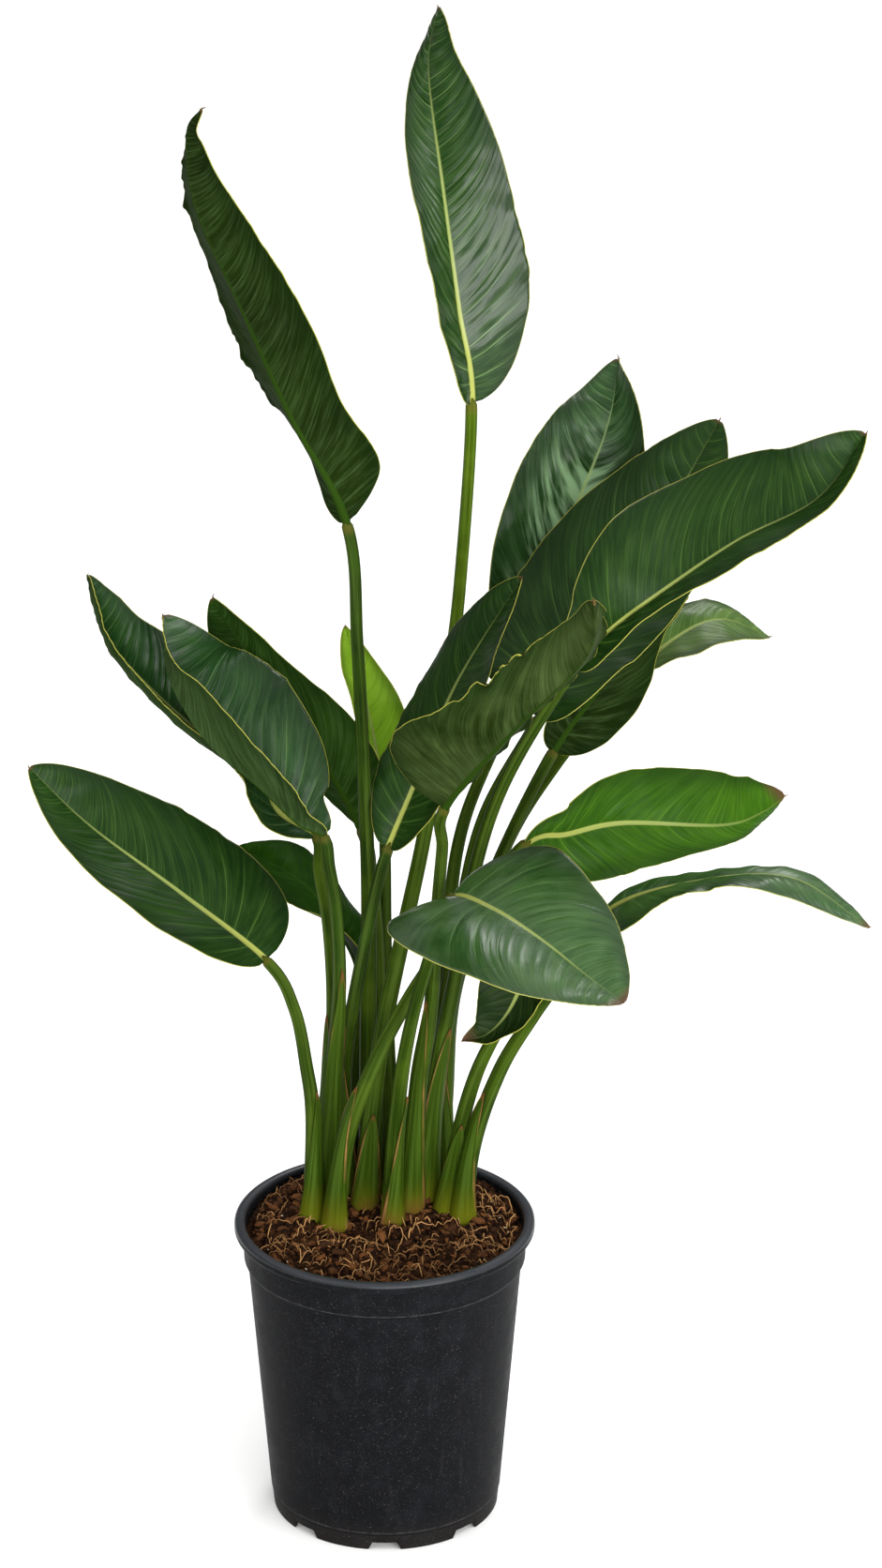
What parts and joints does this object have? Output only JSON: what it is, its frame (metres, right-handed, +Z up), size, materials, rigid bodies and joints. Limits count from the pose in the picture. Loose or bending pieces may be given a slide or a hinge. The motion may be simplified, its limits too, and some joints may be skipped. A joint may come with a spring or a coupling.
{
  "type": "potted bird of paradise",
  "caption": "Leafy bird of paradise plant in a round black plastic nursery pot filled with soil.",
  "frame": {"origin": "middle of the round foot under the pot's floor, on the surface that the pot stands on", "axes": "+Z up along the plant, -Y towards the front as pictured, +X to the right"},
  "size_m": [0.6569, 0.5029, 1.2187],
  "materials": {
    "pot_plastic": "satin black moulded plastic with fine scuffs and dust",
    "soil": "crumbly dark brown potting soil with fine pale roots and bark",
    "stalk": "smooth waxy green petiole, yellower and wider at the foot",
    "leaf_dark": "glossy dark green leaf with a pale midrib and fine side veins",
    "leaf_grey": "waxy grey-green leaf or leaf underside with a pale margin",
    "leaf_bright": "young bright yellow-green leaf with a pale midrib"
  },
  "bodies": {
    "root": {"pot": "pot_plastic", "soil": "soil", "stalk_tall_centre": "stalk", "blade_tall_centre": "leaf_dark", "stalk_tall_left": "stalk", "blade_tall_left": "leaf_grey", "stalk_left_high_a": "stalk", "blade_left_high_a": "leaf_dark", "stalk_left_high_b": "stalk", "blade_left_high_b": "leaf_dark", "stalk_left_back": "stalk", "blade_left_back": "leaf_grey", "stalk_left_low": "stalk", "blade_left_low": "leaf_dark", "stalk_left_dark": "stalk", "blade_left_dark": "leaf_dark", "stalk_young": "stalk", "blade_young": "leaf_bright", "stalk_centre_back": "stalk", "blade_centre_back": "leaf_dark", "stalk_centre_front": "stalk", "blade_centre_front": "leaf_grey", "stalk_right_high_a": "stalk", "blade_right_high_a": "leaf_dark", "stalk_right_high_b": "stalk", "blade_right_high_b": "leaf_dark", "stalk_right_high_c": "stalk", "blade_right_high_c": "leaf_dark", "stalk_right_pale": "stalk", "blade_right_pale": "leaf_grey", "stalk_right_shade": "stalk", "blade_right_shade": "leaf_grey", "stalk_right_bright": "stalk", "blade_right_bright": "leaf_bright", "stalk_right_thin": "stalk", "blade_right_thin": "leaf_grey", "stalk_front_wide": "stalk", "blade_front_wide": "leaf_grey", "stalk_front_small": "stalk", "blade_front_small": "leaf_dark"}
  },
  "joints": []
}
